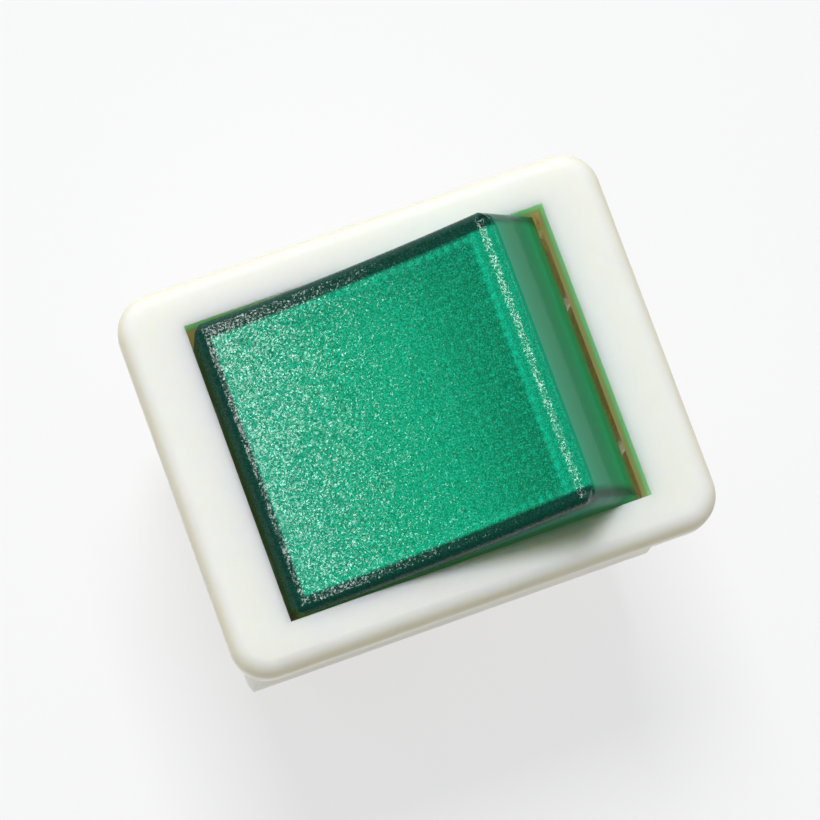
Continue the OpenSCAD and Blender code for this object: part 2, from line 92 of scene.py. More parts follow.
def add(tree, kind, inputs=None, **settings):
    """Adds one node; an input's value may be a number, a colour or another node's output."""
    made = tree.nodes.new(kind)
    for name, value in settings.items():
        setattr(made, name, value)
    for name, value in (inputs or {}).items():
        if isinstance(value, bpy.types.NodeSocket):
            tree.links.new(value, made.inputs[name])
        else:
            made.inputs[name].default_value = value
    return made


def calc(tree, operation, *terms):
    """A Math node on two or three terms."""
    return add(tree, "ShaderNodeMath", dict(enumerate(terms)), operation=operation).outputs[0]


def step(tree, value, start, end, low=0.0, high=1.0):
    """Eases from low to high while value goes from start to end."""
    inputs = {"Value": value, "From Min": start, "From Max": end, "To Min": low, "To Max": high}
    return add(tree, "ShaderNodeMapRange", inputs,
               interpolation_type="SMOOTHSTEP").outputs["Result"]


def tint(tree, share, first, second, blend="MIX"):
    """Mixes two colours; share 0 is the first."""
    first = first if isinstance(first, bpy.types.NodeSocket) else (*first, 1)
    second = second if isinstance(second, bpy.types.NodeSocket) else (*second, 1)
    return add(tree, "ShaderNodeMix", {0: share, 6: first, 7: second},
               data_type="RGBA", blend_type=blend).outputs[2]


def new_material(name):
    """Returns a new material, its tree, its Principled shader and its Object coordinates."""
    material = bpy.data.materials.new(name)
    material.use_nodes = True
    tree = material.node_tree
    place = add(tree, "ShaderNodeTexCoord").outputs["Object"]
    return material, tree, tree.nodes["Principled BSDF"], place


sheet, tree, shader, place = new_material("white_sheet")
cloud = add(tree, "ShaderNodeTexNoise", {"Vector": place, "Scale": 6.0, "Detail": 1.0})
white = tint(tree, cloud.outputs[0], (0.93, 0.935, 0.94), (0.95, 0.95, 0.955))
tree.links.new(white, shader.inputs["Base Color"])
shader.inputs["Roughness"].default_value = 0.9
shader.inputs["Specular IOR Level"].default_value = 0.1
# the sheet glows for every ray: this thins the shadow, and it lights the switch from below
backlit = add(tree, "ShaderNodeEmission", {"Color": (0.945, 0.948, 0.955, 1), "Strength": 1.0})
sheet_mix = add(tree, "ShaderNodeMixShader",
                {0: 0.72, 1: shader.outputs[0], 2: backlit.outputs[0]})
tree.links.new(sheet_mix.outputs[0], tree.nodes["Material Output"].inputs["Surface"])

half_sheet = 3.0
low_z = solid_box[0][2]
floor_mesh = bpy.data.meshes.new("floor")
floor_mesh.from_pydata([(-half_sheet, -half_sheet, low_z), (half_sheet, -half_sheet, low_z),
                        (half_sheet, half_sheet, low_z), (-half_sheet, half_sheet, low_z)],
                       [], [(0, 1, 2, 3)])
floor_mesh.materials.append(sheet)
floor = bpy.data.objects.new("floor", floor_mesh)
bpy.context.scene.collection.objects.link(floor)

world = bpy.data.worlds.new("studio")
world.use_nodes = True
bpy.context.scene.world = world
tree = world.node_tree
# the pale wall at the back, fading round to the front
direction = add(tree, "ShaderNodeTexCoord").outputs["Generated"]
behind = add(tree, "ShaderNodeSeparateXYZ", {0: direction}).outputs["Y"]
glow = step(tree, behind, 0.10, 0.85, 0.13, 0.83)
tree.links.new(glow, tree.nodes["Background"].inputs["Strength"])
tree.nodes["Background"].inputs["Color"].default_value = (0.98, 0.99, 1.0, 1)

softbox_data = bpy.data.lights.new("softbox", "AREA")
softbox_data.shape = "RECTANGLE"
softbox_data.size = 0.24
softbox_data.size_y = 0.24
softbox_data.energy = 4.85
softbox = bpy.data.objects.new("softbox", softbox_data)
softbox.location = (0.02, 0.28, 0.75)
softbox.rotation_euler = softbox.location.to_track_quat("Z", "Y").to_euler()
bpy.context.scene.collection.objects.link(softbox)

# ---------------------------------------------------------------- housing
# Bezel, body, latch tongues and lamp chamber in one moulding of ivory polyamide with a
# finely spark-eroded surface. It snaps into the panel and carries everything else.


weld_reach = 0.0008
flat_angle = math.radians(0.3)
sharp_angle = math.radians(28)


def dressed(node, name, edge):
    """A copy of a CAD node, welded, with its sharp edges bevelled at most edge mm wide.

    Short edges beside a sharp one hold the width back, on the housing to nearly nothing.
    """
    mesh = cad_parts[node].data.copy()
    mesh.name = name
    mesh.materials.clear()
    mesh.transform(Matrix.Scale(1 / MM, 4))
    shape = bmesh.new()
    shape.from_mesh(mesh)
    bmesh.ops.remove_doubles(shape, verts=shape.verts[:], dist=weld_reach)
    bmesh.ops.dissolve_limit(shape, angle_limit=flat_angle, verts=shape.verts[:],
                             edges=shape.edges[:])
    bmesh.ops.triangulate(shape, faces=[f for f in shape.faces if len(f.verts) > 4],
                          quad_method="BEAUTY", ngon_method="BEAUTY")
    shape.to_mesh(mesh)
    shape.free()
    mesh.shade_smooth()
    work = bpy.data.objects.new(name + "_work", mesh)
    bpy.context.scene.collection.objects.link(work)
    if edge:
        bevel = work.modifiers.new("edge", "BEVEL")
        bevel.width = edge
        bevel.segments = 3
        bevel.limit_method = "ANGLE"
        bevel.angle_limit = sharp_angle
    even = work.modifiers.new("even", "WEIGHTED_NORMAL")
    even.keep_sharp = True
    graph = bpy.context.evaluated_depsgraph_get()
    final = bpy.data.meshes.new_from_object(work.evaluated_get(graph))
    final.name = name
    final.transform(Matrix.Scale(MM, 4))
    bpy.data.objects.remove(work)
    piece = bpy.data.objects.new(name, final)
    bpy.context.scene.collection.objects.link(piece)
    return piece


def fit_out(piece, material, slot, body, *nodes):
    """Gives a piece its material, lets it stand for its nodes and ride on its body; slot is not
    used.
    """
    piece.data.materials.clear()
    piece.data.materials.append(material)
    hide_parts(*nodes)
    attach(piece, body)


def new_group(name, inputs, outputs):
    """An empty shader group with the given sockets; returns it, its inputs and its output node."""
    group = bpy.data.node_groups.new(name, "ShaderNodeTree")
    for label, kind, value in inputs:
        socket = group.interface.new_socket(label, in_out="INPUT", socket_type=kind)
        if value is not None:
            socket.default_value = value
    for label, kind in outputs:
        group.interface.new_socket(label, in_out="OUTPUT", socket_type=kind)
    source = group.nodes.new("NodeGroupInput")
    target = group.nodes.new("NodeGroupOutput")
    return group, source.outputs, target


def use(tree, group, inputs):
    """Places a group in a material."""
    made = tree.nodes.new("ShaderNodeGroup")
    made.node_tree = group
    for name, value in inputs.items():
        if isinstance(value, bpy.types.NodeSocket):
            tree.links.new(value, made.inputs[name])
        else:
            made.inputs[name].default_value = value
    return made.outputs


# Eroded texture of a moulding tool: fine pits over a softer orange-peel swell
moulded, given, out = new_group(
    "moulded_grain",
    [("Place", "NodeSocketVector", None), ("Grain", "NodeSocketFloat", 0.12),
     ("Swell", "NodeSocketFloat", 0.3)],
    [("Height", "NodeSocketFloat"), ("Tone", "NodeSocketFloat")])
fineness = calc(moulded, "DIVIDE", 1 / MM, given["Grain"])
pits = add(moulded, "ShaderNodeTexNoise",
           {"Vector": given["Place"], "Scale": fineness, "Detail": 2.0, "Roughness": 0.6})
swell = add(moulded, "ShaderNodeTexNoise",
            {"Vector": given["Place"], "Scale": 900.0, "Detail": 1.0})
rough_part = calc(moulded, "SUBTRACT", 1.0, given["Swell"])
moulded.links.new(
    calc(moulded, "ADD", calc(moulded, "MULTIPLY", pits.outputs[0], rough_part),
         calc(moulded, "MULTIPLY", swell.outputs[0], given["Swell"])),
    out.inputs["Height"])
mottle = add(moulded, "ShaderNodeTexNoise",
             {"Vector": given["Place"], "Scale": 260.0, "Detail": 3.0})
moulded.links.new(mottle.outputs[0], out.inputs["Tone"])

# Dirt: small specks, each in a cell of its own, with most of the cells left clean
dirt, given, out = new_group(
    "handling_dirt",
    [("Place", "NodeSocketVector", None), ("Amount", "NodeSocketFloat", 0.5)],
    [("Mask", "NodeSocketFloat")])
specks = add(dirt, "ShaderNodeTexVoronoi", {"Vector": given["Place"], "Scale": 420.0})
shape_noise = add(dirt, "ShaderNodeTexNoise",
                  {"Vector": given["Place"], "Scale": 5200.0, "Detail": 2.0})
reach = calc(dirt, "ADD", specks.outputs["Distance"],
             calc(dirt, "MULTIPLY", shape_noise.outputs[0], 0.06))
dot = step(dirt, reach, 0.075, 0.045)
chosen = add(dirt, "ShaderNodeSeparateColor", {0: specks.outputs["Color"]}).outputs[0]
rare = step(dirt, chosen, 0.66, 0.72)
dirt.links.new(calc(dirt, "MULTIPLY", calc(dirt, "MULTIPLY", dot, rare), given["Amount"]),
               out.inputs["Mask"])


def raised(tree, shader, height, strength, depth):
    """Turns a height into the shader's bump."""
    relief = add(tree, "ShaderNodeBump",
                 {"Height": height, "Strength": strength, "Distance": depth})
    tree.links.new(relief.outputs[0], shader.inputs["Normal"])


opening_x = 11.55 * MM
opening_y = 9.55 * MM
bezel_top = 2.2 * MM

ivory, tree, shader, place = new_material("ivory_polyamide")
axis = add(tree, "ShaderNodeSeparateXYZ", {0: place}).outputs
skin = use(tree, moulded, {"Place": place, "Grain": 0.13, "Swell": 0.35})
body_tone = tint(tree, step(tree, skin["Tone"], 0.3, 0.7),
                 (0.815, 0.825, 0.775), (0.84, 0.85, 0.81))
# the housing below the bezel's edge is a warmer ivory, and the rounded edge is painted darker and
# browner as shade
below_edge = step(tree, axis["Z"], 1.25 * MM, 0.75 * MM)
body_tone = tint(tree, below_edge, body_tone, (0.87, 0.845, 0.72))
fillet_shade = calc(tree, "MULTIPLY", step(tree, axis["Z"], 2.17 * MM, 1.75 * MM),
                  step(tree, axis["Z"], 0.8 * MM, 1.35 * MM))
body_tone = tint(tree, calc(tree, "MULTIPLY", fillet_shade, 0.9), body_tone,
                 (0.76, 0.73, 0.585))
# painted light and shade on the walls of the opening: green light from the lens near the top,
# khaki shade further down, and darker shade deep inside
inside_x = step(tree, calc(tree, "ABSOLUTE", axis["X"]), opening_x + 0.25 * MM, opening_x)
inside_y = step(tree, calc(tree, "ABSOLUTE", axis["Y"]), opening_y + 0.25 * MM, opening_y)
inside = calc(tree, "MULTIPLY", calc(tree, "MULTIPLY", inside_x, inside_y),
              step(tree, axis["Z"], bezel_top, 1.9 * MM))
wall_light_and_shade = tint(tree, step(tree, axis["Z"], 0.0, 1.3 * MM),
                (0.66, 0.60, 0.26), (0.55, 0.92, 0.58))
wall_light_and_shade = tint(tree, step(tree, axis["Z"], -3.0 * MM, -8.0 * MM), wall_light_and_shade,
                (0.36, 0.30, 0.14))
body_tone = tint(tree, inside, body_tone, wall_light_and_shade)
# light that soaks through the rim leaves the walls of the opening again; it is a faint
# glow of the surface, because the scattering alone doesn't carry it that far
soaked = tint(tree, step(tree, axis["Z"], -0.3 * MM, 1.1 * MM), (0.165, 0.14, 0.052),
              (0.06, 0.15, 0.07))
soaked = tint(tree, step(tree, axis["Z"], -4.0 * MM, -15.0 * MM), soaked, (0.0, 0.0, 0.0))
brighter_end = step(tree, axis["X"], -8 * MM, 11 * MM, 0.62, 1.0)
soaked = tint(tree, calc(tree, "MULTIPLY", inside, brighter_end), (0.0, 0.0, 0.0), soaked)
tree.links.new(soaked, shader.inputs["Emission Color"])
shader.inputs["Emission Strength"].default_value = 1.0
marks = use(tree, dirt, {"Place": place, "Amount": 0.6})
body_tone = tint(tree, marks["Mask"], body_tone, (0.28, 0.22, 0.08))
tree.links.new(body_tone, shader.inputs["Base Color"])
tree.links.new(step(tree, skin["Tone"], 0.2, 0.8, 0.48, 0.62), shader.inputs["Roughness"])
# the two halves of the tool met a little below the bezel and left a fine step
parting = step(tree, axis["Z"], -1.62 * MM, -1.58 * MM, 0.0, 1.6)
raised(tree, shader, calc(tree, "ADD", skin["Height"], parting), 0.25, 0.02 * MM)
shader.inputs["Specular IOR Level"].default_value = 0.4
shader.inputs["Subsurface Weight"].default_value = 0.9
shader.inputs["Subsurface Radius"].default_value = (1.0, 0.9, 0.65)
shader.inputs["Subsurface Scale"].default_value = 2.5 * MM

housing = dressed("housing", "housing_moulding", 0.15)
fit_out(housing, ivory, "housing_nylon", "base", "housing")

# ---------------------------------------------------------------- rocker lens
# A hollow cap moulded in green polycarbonate with a sand-blasted outside. Small prisms on
# its ceiling spread the lamp's light; its walls show dark where they are seen end on.
# It is pressed over the carrier. The pattern is laid out in mm in the rocker's own axes.
# The light that shows through the cap, the dark of its walls and the glints of its grain are
# painted into its colour.

pivot_z = -2.1 * MM
lean = math.radians(15.5)
end_reach = 11.25
half_width = 9.39
face_bottom = 6.35
face_radius = 49.5
prism_pitch = 0.6
wall_width = 1.1
facet_tilt = 0.19

middle_green = (0.002, 0.368, 0.180)
low_end_green = (0.004, 0.350, 0.200)
high_end_green = (0.0006, 0.216, 0.096)
far_corner_shade_green = (0.0008, 0.17, 0.08)
far_row_shade_green = (0.0008, 0.19, 0.095)
under_brow_shade_green = (0.0006, 0.15, 0.065)
prism_glow = (0.004, 0.62, 0.34)
tip_glow = (0.01, 0.72, 0.45)
inner_row_glow = (0.006, 0.58, 0.33)
brow_strip_light = (0.0008, 0.34, 0.17)
seam_glow = (0.002, 0.50, 0.28)
painted_glint_green = (0.006, 0.72, 0.42)
pit_shade_green = (0.0004, 0.15, 0.07)
wall_dark = (0.0008, 0.044, 0.027)
wall_bright = (0.003, 0.085, 0.058)

green, tree, shader, place = new_material("green_polycarbonate")
turned = add(tree, "ShaderNodeMapping",
             {"Vector": place, "Location": (0, 0, pivot_z), "Rotation": (0, -lean, 0),
              "Scale": (MM, MM, MM)}, vector_type="TEXTURE").outputs[0]
axis = add(tree, "ShaderNodeSeparateXYZ", {0: turned}).outputs
rise = calc(tree, "MULTIPLY", axis["Z"], math.sin(lean))
run = calc(tree, "MULTIPLY", axis["X"], math.cos(lean))
from_high = calc(tree, "SUBTRACT", end_reach, calc(tree, "ADD", rise, run))
from_low = calc(tree, "SUBTRACT", end_reach, calc(tree, "SUBTRACT", rise, run))
from_side = calc(tree, "SUBTRACT", half_width, calc(tree, "ABSOLUTE", axis["Y"]))
bowl = calc(tree, "MULTIPLY", calc(tree, "POWER", axis["X"], 2.0), 0.5 / face_radius)
under_face = calc(tree, "SUBTRACT", calc(tree, "ADD", bowl, face_bottom), axis["Z"])

# grain of the blasted surface, and the prisms seen through the face
grain = add(tree, "ShaderNodeTexNoise",
            {"Vector": turned, "Scale": 11.0, "Detail": 1.5, "Roughness": 0.6})
facets = add(tree, "ShaderNodeTexVoronoi", {"Vector": turned, "Scale": 10.0})
dust = add(tree, "ShaderNodeTexVoronoi", {"Vector": turned, "Scale": 29.0})
blur = add(tree, "ShaderNodeTexNoise", {"Vector": turned, "Scale": 1.7, "Detail": 2.0})
bent = calc(tree, "MULTIPLY", calc(tree, "SUBTRACT", blur.outputs[0], 0.5), 0.5)
per_prism = 2 * math.pi / prism_pitch
column = calc(tree, "COSINE",
              calc(tree, "MULTIPLY", calc(tree, "ADD", axis["X"], bent), per_prism))
row = calc(tree, "COSINE",
           calc(tree, "MULTIPLY", calc(tree, "ADD", axis["Y"], bent), per_prism))
prism = calc(tree, "MULTIPLY", calc(tree, "ADD", column, 1.0), calc(tree, "ADD", row, 1.0))
tip = calc(tree, "SUBTRACT", prism, 3.2)

# painted light inside the cap: fullest over the middle, weaker towards the raised end
field = tint(tree, step(tree, axis["X"], 1.0, 7.4), middle_green, high_end_green)
field = tint(tree, step(tree, axis["X"], -1.0, -8.0), field, low_end_green)
# painted shade over the far corner, before the brow and along the far side
far_corner_shade = calc(tree, "MULTIPLY", step(tree, axis["Y"], 4.0, 9.0),
                  step(tree, axis["X"], 0.0, 6.0))
field = tint(tree, calc(tree, "MULTIPLY", far_corner_shade, 0.6), field, far_corner_shade_green)
brow_shade_band = step(tree, axis["X"], 7.0, 8.1)
field = tint(tree, calc(tree, "MULTIPLY", brow_shade_band, 0.6), field, under_brow_shade_green)
far_row_shade = calc(tree, "MULTIPLY", step(tree, axis["Y"], 4.8, 8.4), 0.45)
field = tint(tree, far_row_shade, field, far_row_shade_green)
# painted light through the prisms, brightest at their lit tips
field = tint(tree, calc(tree, "MULTIPLY", prism, 0.05), field, prism_glow)
lit_tips = calc(tree, "MULTIPLY", step(tree, tip, 0.0, 0.7),
                step(tree, blur.outputs[0], 0.5, 0.66))
field = tint(tree, calc(tree, "MULTIPLY", lit_tips, 0.5), field, tip_glow)

# painted light: a bright row inside the walls, and the bright strip and seam over the raised end's
# wall
side_edge = calc(tree, "SUBTRACT", from_side, step(tree, axis["Y"], -2.0, 2.0, 0.0, 0.13))
inner_row = calc(tree, "MULTIPLY", step(tree, side_edge, 1.50, 1.32),
                 step(tree, side_edge, 1.0, 1.15))
inner_row = calc(tree, "MULTIPLY", inner_row, step(tree, column, -1.0, 1.0, 0.12, 0.55))
field = tint(tree, inner_row, field, inner_row_glow)
ragged = calc(tree, "SUBTRACT", from_high, calc(tree, "MULTIPLY", row, 0.06))
strip = step(tree, ragged, 1.72, 1.58)
field = tint(tree, strip, field, brow_strip_light)
seam = calc(tree, "MULTIPLY", step(tree, ragged, 1.60, 1.45),
            step(tree, from_high, 1.14, 1.32))
seam = calc(tree, "MULTIPLY", seam, step(tree, row, -1.0, 1.0, 0.45, 1.0))
field = tint(tree, seam, field, seam_glow)

# the blasted grain, with painted glints on its bright grains and painted shade in its dark pits,
# liveliest towards the low end
lively = step(tree, axis["X"], 7.0, -1.0, 0.7, 1.0)
painted_glint = step(tree, grain.outputs[0], 0.50, 0.66)
painted_glint = calc(tree, "MULTIPLY", painted_glint, lively)
field = tint(tree, calc(tree, "MULTIPLY", painted_glint, 0.75), field, painted_glint_green)
pit_shade = step(tree, grain.outputs[0], 0.50, 0.34)
pit_shade = calc(tree, "MULTIPLY", pit_shade, lively)
field = tint(tree, calc(tree, "MULTIPLY", pit_shade, 0.75), field, pit_shade_green)

# painted shade: the walls themselves, dark round the face where they are seen end on
wall_side = step(tree, side_edge, wall_width, 0.84)
wall_low = step(tree, from_low, 1.08, 0.84)
wall = calc(tree, "MAXIMUM", wall_side, wall_low)
wall_tone = tint(tree, step(tree, grain.outputs[0], 0.45, 0.7), wall_dark, wall_bright)
face_tone = tint(tree, wall, field, wall_tone)

# outside of the walls below the face, with painted light and shade: the end walls paler high up
# and at the foot and darker at their edges, the side walls dark at the top and lit green lower
# down, the low end's wall dark near its top
end_tone = tint(tree, step(tree, under_face, 0.4, 3.2), (0.0008, 0.30, 0.150),
                (0.0006, 0.235, 0.100))
end_tone = tint(tree, step(tree, under_face, 3.6, 5.2), end_tone, (0.0004, 0.30, 0.115))
end_tone = tint(tree, step(tree, from_side, 1.1, 0.5), end_tone, (0.0008, 0.075, 0.045))
side_tone = tint(tree, step(tree, under_face, 0.6, 2.2), (0.0008, 0.050, 0.032),
                 (0.0006, 0.25, 0.135))
is_side = step(tree, from_side, 0.35, 0.15)
low_rim = calc(tree, "MULTIPLY", step(tree, from_low, 0.6, 0.3),
               step(tree, under_face, 3.4, 1.6))
low_end = tint(tree, low_rim, end_tone, (0.0008, 0.060, 0.040))
outer = tint(tree, is_side, low_end, side_tone)
tone = tint(tree, step(tree, under_face, 0.35, 0.75), face_tone, outer)
tree.links.new(tone, shader.inputs["Base Color"])

shader.inputs["Specular IOR Level"].default_value = 0.36
on_face = step(tree, under_face, 0.9, 0.3)
tree.links.new(step(tree, under_face, 0.3, 0.9, 0.175, 0.42), shader.inputs["Roughness"])
# the bump rounds both ends further than the mesh does, and carries the blasted grain
radius_fall = calc(tree, "MULTIPLY", step(tree, from_high, 0.95, 0.05, 0.0, -0.28),
                   step(tree, from_side, 0.2, 0.6))
radius_fall = calc(tree, "MINIMUM", radius_fall, step(tree, from_low, 0.66, 0.0, 0.0, -0.19))
tuck = step(tree, under_face, 3.1, 5.5, 0.0, -0.38)
height = calc(tree, "ADD", calc(tree, "ADD", calc(tree, "MULTIPLY", radius_fall, on_face), tuck),
              calc(tree, "MULTIPLY", grain.outputs[0],
                   step(tree, under_face, 0.9, 0.3, 0.002, 0.006)))
relief = add(tree, "ShaderNodeBump", {"Height": height, "Strength": 1.0, "Distance": MM})


def vectors(tree, operation, inputs):
    """A Vector Math node."""
    return add(tree, "ShaderNodeVectorMath", inputs, operation=operation).outputs[0]


# each blasted grain leaves a small facet that faces its own way
half = (0.5, 0.5, 0.5)
coarse_lean = vectors(tree, "SUBTRACT", {0: facets.outputs["Color"], 1: half})
fine_lean = vectors(tree, "SUBTRACT", {0: dust.outputs["Color"], 1: half})
coarse_lean = vectors(tree, "SCALE", {0: coarse_lean, "Scale": 1.4})
facet_lean = vectors(tree, "ADD", {0: coarse_lean, 1: fine_lean})
facet_lean = vectors(tree, "SCALE",
                     {0: facet_lean, "Scale": calc(tree, "MULTIPLY", on_face, facet_tilt)})
facet_normal = vectors(tree, "ADD", {0: relief.outputs[0], 1: facet_lean})
facet_normal = vectors(tree, "NORMALIZE", {0: facet_normal})
tree.links.new(facet_normal, shader.inputs["Normal"])
# light from above passes the cap and falls tinted on the bezel and the walls behind it
passing = add(tree, "ShaderNodeBsdfTransparent", {"Color": (0.065, 0.18, 0.035, 1)})
chooser = add(tree, "ShaderNodeMixShader",
              {0: add(tree, "ShaderNodeLightPath").outputs["Is Shadow Ray"],
               1: shader.outputs[0], 2: passing.outputs[0]})
tree.links.new(chooser.outputs[0], tree.nodes["Material Output"].inputs["Surface"])

lens = dressed("rocker_lens", "rocker_lens_cap", 0.1)
fit_out(lens, green, "lens_green", "rocker", "rocker_lens")

# ---------------------------------------------------------------- carrier
# White acetal plate under the lens with the trunnions that the rocker turns on and the two
# guide tubes for the plungers.

acetal, tree, shader, place = new_material("white_acetal")
skin = use(tree, moulded, {"Place": place, "Grain": 0.2, "Swell": 0.6})
marks = use(tree, dirt, {"Place": place, "Amount": 0.4})
tone = tint(tree, step(tree, skin["Tone"], 0.3, 0.7), (0.80, 0.79, 0.74), (0.84, 0.83, 0.79))
tone = tint(tree, marks["Mask"], tone, (0.35, 0.30, 0.20))
tree.links.new(tone, shader.inputs["Base Color"])
tree.links.new(step(tree, skin["Tone"], 0.2, 0.8, 0.30, 0.42), shader.inputs["Roughness"])
raised(tree, shader, skin["Height"], 0.2, 0.02 * MM)

carrier = dressed("rocker_carrier", "rocker_carrier_moulding", 0.1)
fit_out(carrier, acetal, "carrier_white", "rocker", "rocker_carrier")

# ---------------------------------------------------------------- plungers and springs
# Round-ended acetal pins that slide in the guides, each pressed down by a coil of spring
# wire with closed ends. They snap the contact arms over their middle.

for side in "ab":
    pin = dressed("plunger_" + side, "plunger_pin_" + side, 0.0)
    fit_out(pin, acetal, "plunger_acetal", "plunger_" + side, "plunger_" + side)

# Drawn wire and rolled strip: fine streaks along the metal and a little tarnish
drawn, given, out = new_group(
    "drawn_metal",
    [("Place", "NodeSocketVector", None), ("Streak", "NodeSocketVector", (1, 1, 1)),
     ("Tarnish", "NodeSocketFloat", 0.4)],
    [("Height", "NodeSocketFloat"), ("Tarnish", "NodeSocketFloat"),
     ("Rough", "NodeSocketFloat")])
stretched = add(drawn, "ShaderNodeVectorMath", {0: given["Place"], 1: given["Streak"]},
                operation="MULTIPLY").outputs[0]
lines = add(drawn, "ShaderNodeTexNoise", {"Vector": stretched, "Scale": 9000.0, "Detail": 2.0})
patches = add(drawn, "ShaderNodeTexNoise",
              {"Vector": given["Place"], "Scale": 420.0, "Detail": 4.0, "Roughness": 0.65})
drawn.links.new(lines.outputs[0], out.inputs["Height"])
stain = step(drawn, patches.outputs[0], 0.42, 0.72)
drawn.links.new(calc(drawn, "MULTIPLY", stain, given["Tarnish"]), out.inputs["Tarnish"])
drawn.links.new(calc(drawn, "ADD", calc(drawn, "MULTIPLY", lines.outputs[0], 0.18),
                     calc(drawn, "MULTIPLY", stain, 0.14)), out.inputs["Rough"])


def metal(name, bright, stained, streak, tarnish, smooth):
    """A metal with drawn or rolled streaks and stains of its oxide."""
    material, tree, shader, place = new_material(name)
    skin = use(tree, drawn, {"Place": place, "Streak": streak, "Tarnish": tarnish})
    tree.links.new(tint(tree, skin["Tarnish"], bright, stained), shader.inputs["Base Color"])
    tree.links.new(calc(tree, "ADD", skin["Rough"], smooth), shader.inputs["Roughness"])
    raised(tree, shader, skin["Height"], 0.15, 0.01 * MM)
    shader.inputs["Metallic"].default_value = 1.0
    return material


steel = metal("spring_steel", (0.60, 0.60, 0.61), (0.36, 0.33, 0.30), (1, 1, 0.2), 0.5, 0.14)

coil_turns = 7
coil = bpy.data.node_groups.new("spring_coil", "GeometryNodeTree")
coil_inputs = {}
for label, kind in (("Coil Radius", "NodeSocketFloat"), ("Wire Radius", "NodeSocketFloat"),
                    ("Length", "NodeSocketFloat"), ("Turns", "NodeSocketFloat"),
                    ("Foot", "NodeSocketVector"), ("Lean", "NodeSocketVector"),
                    ("Material", "NodeSocketMaterial")):
    socket = coil.interface.new_socket(label, in_out="INPUT", socket_type=kind)
    coil_inputs[label] = socket.identifier
coil.interface.new_socket("Geometry", in_out="OUTPUT", socket_type="NodeSocketGeometry")
given = coil.nodes.new("NodeGroupInput").outputs
line = add(coil, "GeometryNodeCurvePrimitiveLine").outputs[0]
line = add(coil, "GeometryNodeResampleCurve",
           {"Curve": line, "Count": 48 * coil_turns + 1}).outputs[0]
share = add(coil, "GeometryNodeSplineParameter").outputs["Factor"]
turn = calc(coil, "MULTIPLY", share, given["Turns"])
angle = calc(coil, "MULTIPLY", turn, 2 * math.pi)
open_turns = calc(coil, "SUBTRACT", given["Turns"], 2.0)
pitch = calc(coil, "MULTIPLY", given["Wire Radius"], 2.1)
closed_foot = calc(coil, "MINIMUM", turn, 1.0)
closed_head = calc(coil, "MAXIMUM",
                   calc(coil, "SUBTRACT", turn, calc(coil, "ADD", open_turns, 1.0)), 0.0)
middle = calc(coil, "MAXIMUM", calc(coil, "SUBTRACT", turn, 1.0), 0.0)
middle = calc(coil, "DIVIDE", calc(coil, "MINIMUM", middle, open_turns), open_turns)
climb = calc(coil, "SUBTRACT", given["Length"], calc(coil, "MULTIPLY", pitch, 2.0))
climb = calc(coil, "SUBTRACT", climb, calc(coil, "MULTIPLY", given["Wire Radius"], 2.0))
level = calc(coil, "MULTIPLY", calc(coil, "ADD", closed_foot, closed_head), pitch)
level = calc(coil, "ADD", level, calc(coil, "MULTIPLY", middle, climb))
level = calc(coil, "ADD", level, given["Wire Radius"])
spot = add(coil, "ShaderNodeCombineXYZ",
           {"X": calc(coil, "MULTIPLY", calc(coil, "COSINE", angle), given["Coil Radius"]),
            "Y": calc(coil, "MULTIPLY", calc(coil, "SINE", angle), given["Coil Radius"]),
            "Z": level}).outputs[0]
wound = add(coil, "GeometryNodeSetPosition", {"Geometry": line, "Position": spot}).outputs[0]
section = add(coil, "GeometryNodeCurvePrimitiveCircle",
              {"Resolution": 12, "Radius": given["Wire Radius"]}).outputs["Curve"]
wire = add(coil, "GeometryNodeCurveToMesh",
           {"Curve": wound, "Profile Curve": section, "Fill Caps": True}).outputs[0]
wire = add(coil, "GeometryNodeTransform",
           {"Geometry": wire, "Translation": given["Foot"],
            "Rotation": given["Lean"]}).outputs[0]
wire = add(coil, "GeometryNodeRealizeInstances", {"Geometry": wire}).outputs[0]
wire = add(coil, "GeometryNodeSetMaterial",
           {"Geometry": wire, "Material": given["Material"]}).outputs[0]
coil.links.new(wire, coil.nodes.new("NodeGroupOutput").inputs["Geometry"])


def grown(name, group, values):
    """Evaluates a Geometry Nodes tree with the given inputs and keeps its plain mesh."""
    seed = bpy.data.objects.new(name + "_seed", bpy.data.meshes.new(name + "_seed"))
    bpy.context.scene.collection.objects.link(seed)
    modifier = seed.modifiers.new("tree", "NODES")
    modifier.node_group = group
    for identifier, value in values.items():
        modifier[identifier] = value
    graph = bpy.context.evaluated_depsgraph_get()
    mesh = bpy.data.meshes.new_from_object(seed.evaluated_get(graph))
    mesh.name = name
    bpy.data.objects.remove(seed)
    mesh.shade_smooth()
    piece = bpy.data.objects.new(name, mesh)
    bpy.context.scene.collection.objects.link(piece)
    return piece


